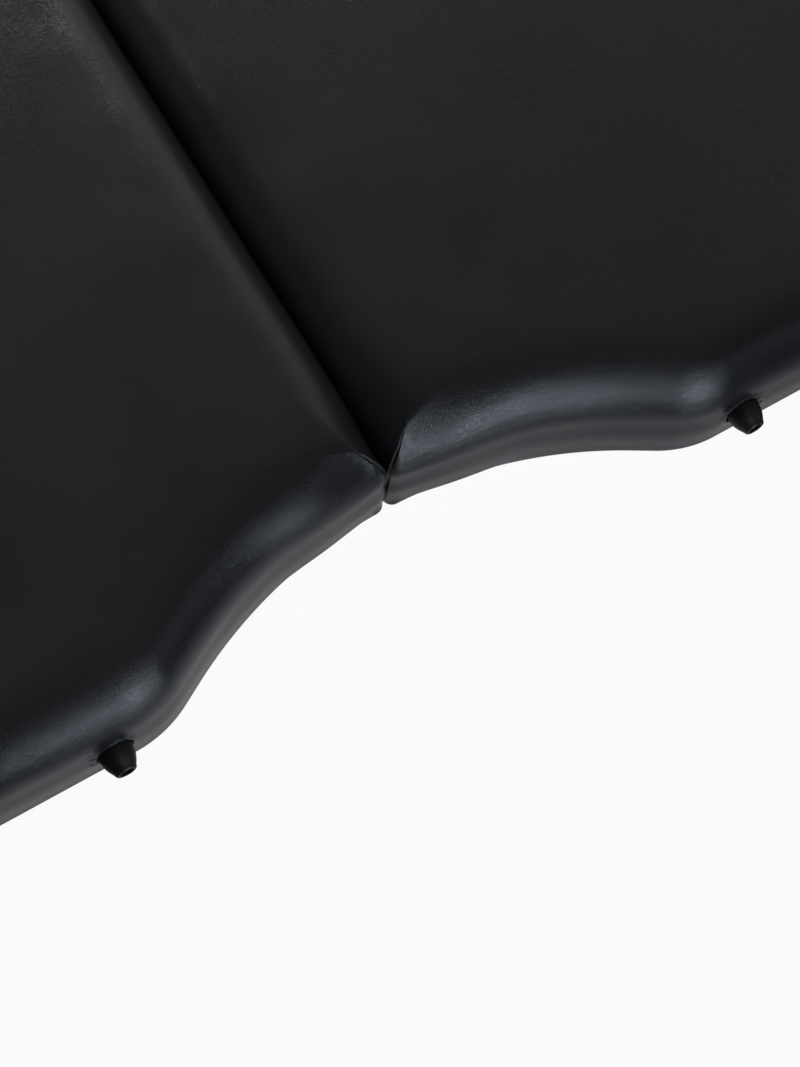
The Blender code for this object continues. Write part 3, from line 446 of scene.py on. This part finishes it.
BEECH_FLECK, BIRCH_FLECK = 0.55, 0.15
FINISH_MAKERS = {
    "black_leatherette": make_leatherette,
    "black_rubber": make_rubber,
    "black_plastic": make_plastic,
    "zinc_plate": make_zinc,
    "beech_along_x": lambda name: make_timber(name, settings().finish.beech, (0, 0, 0), BEECH_FLECK),
    "beech_along_y": lambda name: make_timber(name, settings().finish.beech, (0, 0, pi / 2), BEECH_FLECK),
    "beech_along_z": lambda name: make_timber(name, settings().finish.beech, (0, pi / 2, 0), BEECH_FLECK),
    "birch_plywood": lambda name: make_timber(name, settings().finish.plywood, (0, 0, 0), BIRCH_FLECK),
}


# Pads: steps round half of a ring, rows from the hem to the crown, and sizes in metres

FOLD_STEPS, CORNER_STEPS, WAIST_STEPS, FLANK_STEPS, SHOULDER_STEPS = 40, 16, 60, 9, 14
SIDE_STEPS, END_CORNER_STEPS, END_STEPS = 72, 14, 16
SIDE_ROWS, EDGE_ROWS, TOP_ROWS = 16, 40, 54
LEAST_CORNER, MOST_CORNER, CORNER_GROWTH = 0.0018, 0.060, 1.5
LEAST_RADIUS = 0.004
SEAM_INDEX = FOLD_STEPS + 2
SEAM_FADE = 0.003
RIDGE_SHARE, RIDGE_WIDTH = 0.25, 0.0006
GROOVE_OFFSET, GROOVE_WIDTH = 0.0013, 0.0007
TUCK_SHARE, TUCK_OFFSET, TUCK_WIDTH = 0.5, 0.0006, 0.0012
SHALLOW_SHARE, FULL_SLOPE = 0.4, radians(20)
SEAM_PULL, TUG_REACH = 0.012, 0.040
WAVE_SEEDS = {"left": Vector((3.7, 1.3, 0.0)), "right": Vector((0.0, 5.1, 0.0))}
LONG_WAVES, SHORT_WAVES, SHORT_SHARE = 9.0, 26.0, 0.4
CALM_HEIGHT, CALM_WIDTH = 0.040, 0.030
CORD_RADIUS = 0.0006


def held(value):
    """Value kept between 0 and 1."""
    return min(max(value, 0.0), 1.0)


def eased(share):
    """Share from 0 to 1 with a soft start and end."""
    return share * share * (3 - 2 * share)


def waist_y(pad, x, inset):
    """Where the waist's arc, set in by inset, lies at x."""
    centre = HALF_WIDTH - pad.waist_depth + pad.waist_radius
    return centre - sqrt((pad.waist_radius + inset) ** 2 - x ** 2)


def corner_radius(pad, half, inset):
    """Radius of the fold corner: it tightens to the seam, and opens again beyond the seam's end."""
    lowest = pad.left_corner if half == "left" else pad.right_corner
    tight = max(lowest - inset, LEAST_CORNER)
    return min(tight + CORNER_GROWTH * max(inset - pad.seam_reach, 0.0), MOST_CORNER)


def half_outline(pad, half, inset):
    """Edge of one half at y > 0, set in by inset, from the fold's middle round to the outer end's middle."""
    radius = corner_radius(pad, half, inset)
    corner = (inset + radius, waist_y(pad, inset + radius, inset) - radius)
    points = straight((inset, 0.0), (inset, corner[1]), FOLD_STEPS, 1.5)
    points += arc(corner, radius, pi, pi / 2, CORNER_STEPS)
    waist_radius = pad.waist_radius + inset
    start = -pi / 2 + asin((inset + radius) / waist_radius)
    sweep = -pi / 2 + pad.flank_angle - start
    centre = (0.0, HALF_WIDTH - pad.waist_depth + pad.waist_radius)
    for step in range(1, WAIST_STEPS + 1):
        angle = start + sweep * (step / WAIST_STEPS) ** 1.3
        points.append((centre[0] + waist_radius * cos(angle), centre[1] + waist_radius * sin(angle)))
    reach = pad.waist_radius + pad.shoulder_radius
    flank = (pad.waist_depth - reach * (1 - cos(pad.flank_angle))) / sin(pad.flank_angle)
    shoulder_x = reach * sin(pad.flank_angle) + flank * cos(pad.flank_angle)
    radius = max(pad.shoulder_radius - inset, LEAST_RADIUS)
    shift = (inset - pad.shoulder_radius + radius) * tan(pad.flank_angle / 2)
    shoulder = arc((shoulder_x + shift, HALF_WIDTH - inset - radius), radius, pi / 2 + pad.flank_angle, pi / 2,
                   SHOULDER_STEPS)
    points += straight(points[-1], shoulder[0], FLANK_STEPS)[1:] + shoulder[:-1]
    radius = max(pad.end_radius - inset, LEAST_RADIUS)
    length = OUTER_END - FOLD_SIDE
    end = arc((length - inset - radius, HALF_WIDTH - inset - radius), radius, pi / 2, 0.0, END_CORNER_STEPS)
    points += straight(shoulder[-1], end[0], SIDE_STEPS) + end[:-1]
    return points + straight(end[-1], (length - inset, 0.0), END_STEPS) + [(length - inset, 0.0)]


def pad_profile(pad):
    """(inset, height, slope) of each ring: inner wall, hem, swelling side, soft upper edge and crowned top."""
    deck = DECK_TOP - UNDERSIDE
    rows = [(pad.skin, deck, None), (pad.skin, pad.hem_rounding, None), (pad.hem, pad.skin, None),
            (pad.hem, 0.0, None)]
    hem = arc((pad.hem_rounding, pad.hem_rounding), pad.hem_rounding, 3 * pi / 2, pi, 4)
    rows += [(inset, height, None) for inset, height in hem]
    side = deck - pad.hem_rounding
    for step in range(1, SIDE_ROWS):
        share = pi * step / SIDE_ROWS
        slope = -atan2(pad.fullness * pi / side * sin(2 * share), 1.0)
        rows.append((-pad.fullness * sin(share) ** 2, pad.hem_rounding + side * step / SIDE_ROWS, slope))
    edge = PAD_TOP - UNDERSIDE - pad.crown_rise - deck
    for step in range(TOP_ROWS + 1):
        inset = pad.rounding * (step / EDGE_ROWS) ** 2
        if step > EDGE_ROWS:
            inset = pad.rounding + (pad.crown_run - pad.rounding) * (step - EDGE_ROWS) / (TOP_ROWS - EDGE_ROWS)
        rows.append((inset, deck + edge_height(pad, edge, inset), edge_slope(pad, edge, inset)))
    return rows


def edge_height(pad, edge, inset):
    """Height of the padding above the deck: it leaves the side upright and eases into the crown."""
    share = max(1 - inset / pad.rounding, 0.0)
    crown = max(1 - inset / pad.crown_run, 0.0)
    return edge * sqrt(1 - share ** 3) + pad.crown_rise * (1 - crown ** 2)


def edge_slope(pad, edge, inset):
    """Angle of the surface normal above the horizon."""
    step = 1e-5
    rise = edge_height(pad, edge, inset + step) - edge_height(pad, edge, max(inset - step, 0.0))
    return atan2(2 * step, rise)


def padded_point(pad, half, row, outline, index):
    """A point of a ring, moved by the seam, its pull on the edge and the soft waves of the padding."""
    inset, height, slope = row
    x, y = outline[index]
    point = Vector((x, y, UNDERSIDE + height))
    if slope is None:
        return point
    before, after = outline[max(index - 1, 0)], outline[min(index + 1, len(outline) - 1)]
    out = Vector((before[1] - after[1], after[0] - before[0], 0.0)).normalized()
    normal = out * cos(slope) + Vector((0, 0, sin(slope)))
    if FOLD_STEPS <= index <= FOLD_STEPS + CORNER_STEPS:
        beside = corner_radius(pad, half, inset) * pi / 2 / CORNER_STEPS * (index - SEAM_INDEX)
        fade = held((pad.seam_reach - inset) / SEAM_FADE)
        ridge = RIDGE_SHARE * exp(-(beside / RIDGE_WIDTH) ** 2)
        groove = exp(-((beside - GROOVE_OFFSET) / GROOVE_WIDTH) ** 2)
        tuck = exp(-((inset - pad.seam_reach) / TUCK_WIDTH) ** 2 - ((beside - TUCK_OFFSET) / TUCK_WIDTH) ** 2)
        shallow = SHALLOW_SHARE + (1 - SHALLOW_SHARE) * held(slope / FULL_SLOPE)
        point += normal * pad.seam_depth * shallow * ((ridge - groove) * fade - TUCK_SHARE * tuck)
    if index > SEAM_INDEX:
        along = max(x - inset, 0.0)
        swell = (1 - cos(2 * pi * min(along / pad.swell_reach, 1.0)) - exp(-(along / SEAM_PULL) ** 2)) / 2
        blend = eased(min((index - SEAM_INDEX) / (CORNER_STEPS - 2), 1.0))
        point += out * pad.swell * swell * blend * cos(slope)
    away = hypot(x - inset, y - waist_y(pad, inset, inset))
    tug = pad.corner_tug * exp(-(away / TUG_REACH) ** 2) * max(sin(2 * slope), 0.0)
    point += Vector((tug, -tug, 0.0))
    seed = WAVE_SEEDS[half]
    wave = noise.noise(point * LONG_WAVES + seed) + SHORT_SHARE * noise.noise(point * SHORT_WAVES + seed)
    still = held((pad.crown_run - inset) / CALM_WIDTH) * min(height / CALM_HEIGHT, 1.0)
    return point + normal * wave * pad.unevenness * still


def bumper_places(half):
    """Centre of each bumper's seat on the front of a half."""
    for which in ("inner", "outer"):
        low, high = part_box(f"{half}_{which}_bumper")
        yield f"{half}_{which}_bumper", Vector(((low.x + high.x) / 2, high.y, (low.z + high.z) / 2)), high - low


SEAT_BAND, SKIN_BAND, SEAT_DEPTH = 0.004, 0.0006, 0.0004
SEAT_EDGE, LIP_OFFSET = 0.0009, 0.0011
SEAT_EDGE_LENGTHS = (0.0050, 0.0026, 0.0013, 0.0008)


def beside_seat(vert, centre):
    """Distance of a vertex from a bumper's axis."""
    return hypot(vert.co.x - centre.x, vert.co.z - centre.z)


def press_seat(bm, centre, base_radius, bumper):
    """Refine the leatherette round a bumper, seat it under the base and roll it into a lip about the base."""
    reach = base_radius + 3 * bumper.lip_width

    def near(vert):
        return abs(vert.co.y - centre.y) < SEAT_BAND and beside_seat(vert, centre) < reach

    for longest in SEAT_EDGE_LENGTHS:
        edges = [edge for edge in bm.edges if edge.calc_length() > longest and all(map(near, edge.verts))]
        bmesh.ops.subdivide_edges(bm, edges=edges, cuts=1, use_grid_fill=True)
    for vert in filter(near, bm.verts):
        if vert.co.y > centre.y + SKIN_BAND:
            continue
        radius = beside_seat(vert, centre) - base_radius - bumper.gap
        rise = eased(held(radius / SEAT_EDGE))
        lip = bumper.lip_height * exp(-((radius - LIP_OFFSET) / bumper.lip_width) ** 2)
        vert.co.y = centre.y + (vert.co.y - centre.y - lip) * rise + SEAT_DEPTH * (1 - rise)


class TABLE_OT_pads(bpy.types.Operator):
    """Builds the padded halves over the plywood decks"""
    bl_idname = "massage_table.pads"
    bl_label = "Pads"

    def execute(self, context):
        pad, bumper = settings().pad, settings().bumper
        profile = pad_profile(pad)
        for half, turn in HALVES.items():
            outlines = [half_outline(pad, half, inset) for inset, height, slope in profile]
            place = Matrix.Rotation(turn, 4, "Z") @ Matrix.Translation((FOLD_SIDE, 0, 0))
            rings = []
            for row, outline in zip(profile, outlines):
                side = [padded_point(pad, half, row, outline, i) for i in range(len(outline))]
                other = [Vector((p.x, -p.y, p.z)) for p in side[-2:0:-1]]
                rings.append([place @ point for point in side + other])
            bm = loft(rings)
            for name, centre, size in bumper_places(half):
                press_seat(bm, centre, size.x / 2, bumper)
            piece = add_piece(half + "_pad", bm, Finishes.get("black_leatherette"), half + "_half")
            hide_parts(half + "_cover", half + "_foam")
        return {"FINISHED"}


def cord(path, radius, sides=8):
    """A round cord along a path, closed at both ends."""
    rings = []
    for index, point in enumerate(path):
        ahead = (path[min(index + 1, len(path) - 1)] - path[max(index - 1, 0)]).normalized()
        across = ahead.cross(Vector((1, 1, 0))).normalized()
        other = ahead.cross(across)
        taper = radius * (0.4 if index in (0, len(path) - 1) else 1.0)
        rings.append([point + (across * cos(a) + other * sin(a)) * taper
                      for a in (2 * pi * side / sides for side in range(sides))])
    return loft(rings)


class TABLE_OT_seams(bpy.types.Operator):
    """Sews the mitred corners beside the fold: a folded edge of leatherette stands beside each seam"""
    bl_idname = "massage_table.seams"
    bl_label = "Corner seams"

    def execute(self, context):
        pad = settings().pad
        rows = [row for row in pad_profile(pad) if row[2] is not None and row[0] < pad.seam_reach]
        for half, turn in HALVES.items():
            place = Matrix.Rotation(turn, 4, "Z") @ Matrix.Translation((FOLD_SIDE, 0, 0))
            path = [padded_point(pad, half, row, half_outline(pad, half, row[0]), SEAM_INDEX) for row in rows]
            sides = ("rear", "front") if half == "right" else ("front", "rear")
            for side, flip in zip(sides, (1, -1)):
                line = [place @ Vector((p.x, p.y * flip, p.z)) for p in path]
                add_piece(f"{half}_{side}_seam", cord(line, CORD_RADIUS), Finishes.get("black_leatherette"),
                          half + "_half")
        return {"FINISHED"}


BUMPER_ROUNDINGS = 0.0006, 0.0021, 0.001  # at the hole, at the tip and at the foot
CONE_STEPS, BUMPER_STEPS = 13, 64


class TABLE_OT_bumpers(bpy.types.Operator):
    """Turns the rubber bumpers on the front, with their screw holes"""
    bl_idname = "massage_table.bumpers"
    bl_label = "Bumpers"

    def execute(self, context):
        bumper = settings().bumper
        for half in HALVES:
            for name, seat, size in bumper_places(half):
                base, length, tip = size.x / 2, size.y, bumper.tip_radius
                floor = length - bumper.hole_depth
                hole = bumper.hole_radius
                lip, edge, foot = BUMPER_ROUNDINGS
                profile = [(0.0, floor), (hole, floor), (hole, length - lip)]
                profile += arc((hole + lip, length - lip), lip, pi, pi / 2, 4)[1:]
                profile += arc((tip - edge, length - edge), edge, pi / 2, radians(12), 6)
                for step in range(1, CONE_STEPS):
                    share = step / CONE_STEPS
                    radius = tip + (base - tip) * share + bumper.bulge * sin(pi * share)
                    profile.append((radius, (length - edge) * (1 - share) + foot * share))
                profile += arc((base - foot, foot), foot, 0.0, -pi / 2, 4) + [(0.0, 0.0)]
                bm = turned(profile, BUMPER_STEPS)
                bm.transform(Matrix.Translation(seat) @ Matrix.Rotation(pi / 2, 4, "X"))
                piece = add_piece(name + "_rubber", bm, Finishes.get("black_rubber"), half + "_half")
                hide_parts(name)
        return {"FINISHED"}


FINISH_OF_SLOT = {"plywood": "birch_plywood", "steel": "zinc_plate", "rubber": "black_rubber",
                  "plastic": "black_plastic", "leatherette": "black_leatherette", "foam": "black_leatherette"}
EDGE_OF_SLOT = {"beech": 0.0015, "plywood": 0.0006, "steel": 0.0004, "rubber": 0.0012, "plastic": 0.0008}


def soften(node, width):
    """Round the sharp edges of a carried-over piece with modifiers; its mesh stays as it is."""
    weld = node.modifiers.new("weld", "WELD")
    weld.merge_threshold = 1e-5
    bevel = node.modifiers.new("bevel", "BEVEL")
    bevel.width = width
    bevel.segments = 2
    bevel.limit_method = "ANGLE"
    bevel.angle_limit = radians(40)
    normals = node.modifiers.new("normals", "WEIGHTED_NORMAL")
    normals.keep_sharp = True


class TABLE_OT_timber_and_metal(bpy.types.Operator):
    """Gives the rails, legs, hinge, stays and other carried-over pieces their finishes"""
    bl_idname = "massage_table.timber_and_metal"
    bl_label = "Timber and metal"

    def execute(self, context):
        for name, node in frame["nodes"].items():
            slot = SLOT_OF_NODE[name]
            low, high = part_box(name)
            size = high - low
            longest = "xyz"[max(range(3), key=lambda axis: size[axis])]
            finish = FINISH_OF_SLOT.get(slot, "beech_along_" + longest)
            node.data.materials.clear()
            node.data.materials.append(Finishes.get(finish))
            if slot in EDGE_OF_SLOT:
                soften(node, EDGE_OF_SLOT[slot])
        return {"FINISHED"}


COOL, COOLER, COLD = (0.95, 0.97, 1.0), (0.90, 0.95, 1.0), (0.77, 0.87, 1.0)
SOFTBOXES = (  # name, place, what it faces, width and height, colour
    ("key", (0.13, -1.70, 0.50), (0.03, -0.3, 0.6), (0.34, 0.95), COLD),
    ("upper", (0.13, -1.65, 1.30), (0.03, -0.3, 0.6), (0.38, 0.60), COLD),
    ("card", (-0.36, -1.68, 0.55), (-0.1, -0.3, 0.6), (0.30, 1.0), COLD),
    ("side", (1.60, -1.60, 1.05), (-0.1, -0.3, 0.6), (0.8, 0.8), COOLER),
    ("over", (0.05, -1.35, 2.50), (0.1, -0.3, 0.6), (0.7, 1.3), COOLER),
    ("right", (2.9, 1.9, 2.0), (0.0, 0.0, 0.6), (3.0, 2.2), COOL),
    ("back", (0.15, 3.6, 1.75), (0.0, 0.0, 0.6), (4.0, 1.6), COOL),
)
FLOOR_SEEN, WORLD_SEEN, MIRRORED = 0.93, 0.97, 0.03
# The floor's colour is a painted pool of light: pale near the table's middle, dark further out.
FLOOR_MIDDLE, FLOOR_NEAR, FLOOR_FAR = (0.0, -0.3, 0.0), 0.45, 1.10
FLOOR_PAINTED_LIT, FLOOR_PAINTED_UNLIT = 0.52, 0.05
ROOM_LIT_FROM, ROOM_DARK, ROOM_LIGHT = (0.6, 0.6, 0.5), 0.015, 0.15


class TABLE_OT_stage(bpy.types.Operator):
    """Sets the floor, the soft light and the camera"""
    bl_idname = "massage_table.stage"
    bl_label = "Stage"

    def execute(self, context):
        stage = settings().stage
        self.lay_floor(stage)
        self.light_world()
        for name, place, target, size, colour in SOFTBOXES:
            self.hang_softbox(name, place, target, size, getattr(stage, name + "_power"), colour)
        self.set_camera(stage)
        context.scene.view_settings.view_transform = "Standard"
        return {"FINISHED"}

    def lay_floor(self, stage):
        """A pale floor whose colour darkens outwards as a painted pool of light; it keeps the table's shadow
        and is clear from below.
        """
        bm = bmesh.new()
        bmesh.ops.create_grid(bm, x_segments=1, y_segments=1, size=stage.floor_size / 2)
        mesh = bpy.data.meshes.new("floor")
        bm.to_mesh(mesh)
        bm.free()
        floor = bpy.data.objects.new("floor", mesh)
        bpy.context.scene.collection.objects.link(floor)
        material, tree, shader, at = new_material("white_floor")
        # Painted light: the colour falls from pale near the table to dark further out, a painted pool of light
        # seen in reflections and bounce light.
        away = add_node(tree, "ShaderNodeVectorMath", {0: at, 1: FLOOR_MIDDLE}, operation="DISTANCE")
        tone = ranged(tree, away.outputs["Value"], FLOOR_NEAR, FLOOR_FAR, FLOOR_PAINTED_LIT, FLOOR_PAINTED_UNLIT)
        tree.links.new(tone, shader.inputs["Base Color"])
        shader.inputs["Roughness"].default_value = 0.9
        shader.inputs["Specular IOR Level"].default_value = 0.0
        white = add_node(tree, "ShaderNodeEmission", {"Color": (1, 1, 1, 1), "Strength": 1.0})
        blend = add_node(tree, "ShaderNodeMixShader", {0: self.seen(tree, FLOOR_SEEN), 1: shader.outputs[0],
                                                       2: white.outputs[0]})
        under = add_node(tree, "ShaderNodeNewGeometry").outputs["Backfacing"]
        clear = add_node(tree, "ShaderNodeBsdfTransparent")
        surface = add_node(tree, "ShaderNodeMixShader", {0: under, 1: blend.outputs[0], 2: clear.outputs[0]})
        tree.links.new(surface.outputs[0], tree.nodes["Material Output"].inputs["Surface"])
        mesh.materials.append(material)

    def light_world(self):
        """A dim room, lighter behind at the right; the camera itself sees a pale backdrop."""
        world = bpy.data.worlds.new("studio")
        world.use_nodes = True
        tree = world.node_tree
        ray = add_node(tree, "ShaderNodeTexCoord").outputs["Generated"]
        lit = add_node(tree, "ShaderNodeVectorMath", {0: ray, 1: ROOM_LIT_FROM}, operation="DOT_PRODUCT")
        room = ranged(tree, lit.outputs["Value"], -0.2, 0.8, ROOM_DARK, ROOM_LIGHT)
        backdrop = tree.nodes["Background"]
        backdrop.inputs["Color"].default_value = (1.0, 1.0, 1.0, 1.0)
        strength = calculated(tree, "MAXIMUM", room, self.seen(tree, WORLD_SEEN))
        tree.links.new(strength, backdrop.inputs["Strength"])
        bpy.context.scene.world = world

    def seen(self, tree, direct):
        """Share of white that the camera sees directly, and in mirrors and through glass."""
        rays = add_node(tree, "ShaderNodeLightPath").outputs
        bounced = calculated(tree, "MAXIMUM", rays["Is Glossy Ray"], rays["Is Transmission Ray"])
        return calculated(tree, "MAXIMUM", calculated(tree, "MULTIPLY", rays["Is Camera Ray"], direct),
                          calculated(tree, "MULTIPLY", bounced, MIRRORED))

    def hang_softbox(self, name, place, target, size, power, colour):
        data = bpy.data.lights.new(name, "AREA")
        data.shape = "RECTANGLE"
        data.size, data.size_y = size
        data.energy = power
        data.color = colour
        lamp = bpy.data.objects.new(name, data)
        lamp.location = place
        lamp.rotation_euler = (Vector(target) - Vector(place)).to_track_quat("-Z", "Y").to_euler()
        bpy.context.scene.collection.objects.link(lamp)

    def set_camera(self, stage):
        data = bpy.data.cameras.new("camera")
        data.lens = stage.lens
        data.clip_start = 0.01
        data.clip_end = 100.0
        camera = bpy.data.objects.new("camera", data)
        right = Vector((cos(stage.heading), -sin(stage.heading), 0.0))
        ahead = Vector((sin(stage.heading) * cos(stage.dip), cos(stage.heading) * cos(stage.dip),
                        -sin(stage.dip)))
        above = right.cross(ahead)
        axes = Matrix((cos(stage.roll) * right + sin(stage.roll) * above,
                       cos(stage.roll) * above - sin(stage.roll) * right, -ahead)).transposed()
        camera.matrix_world = Matrix.Translation(stage.camera_place) @ axes.to_4x4()
        bpy.context.scene.collection.objects.link(camera)
        bpy.context.scene.camera = camera


class TableSettings(bpy.types.PropertyGroup):
    """All settings of the massage table."""
    pad: PointerProperty(type=PadSettings)
    bumper: PointerProperty(type=BumperSettings)
    finish: PointerProperty(type=FinishSettings)
    stage: PointerProperty(type=StageSettings)


OPERATORS = (TABLE_OT_timber_and_metal, TABLE_OT_pads, TABLE_OT_seams, TABLE_OT_bumpers, TABLE_OT_stage)


class TABLE_PT_panel(bpy.types.Panel):
    """Lists the pieces of the massage table"""
    bl_idname = "TABLE_PT_panel"
    bl_label = "Massage table"
    bl_space_type = "VIEW_3D"
    bl_region_type = "UI"
    bl_category = "Table"

    def draw(self, context):
        for operator in OPERATORS:
            self.layout.operator(operator.bl_idname)


CLASSES = (PadSettings, BumperSettings, FinishSettings, StageSettings, TableSettings, *OPERATORS,
           TABLE_PT_panel)


def register():
    for cls in CLASSES:
        bpy.utils.register_class(cls)
    bpy.types.Scene.massage_table = PointerProperty(type=TableSettings)


def unregister():
    del bpy.types.Scene.massage_table
    for cls in reversed(CLASSES):
        bpy.utils.unregister_class(cls)


def main():
    register()
    bpy.ops.massage_table.timber_and_metal()
    bpy.ops.massage_table.pads()
    bpy.ops.massage_table.seams()
    bpy.ops.massage_table.bumpers()
    bpy.ops.massage_table.stage()


if __name__ == "__main__":
    main()
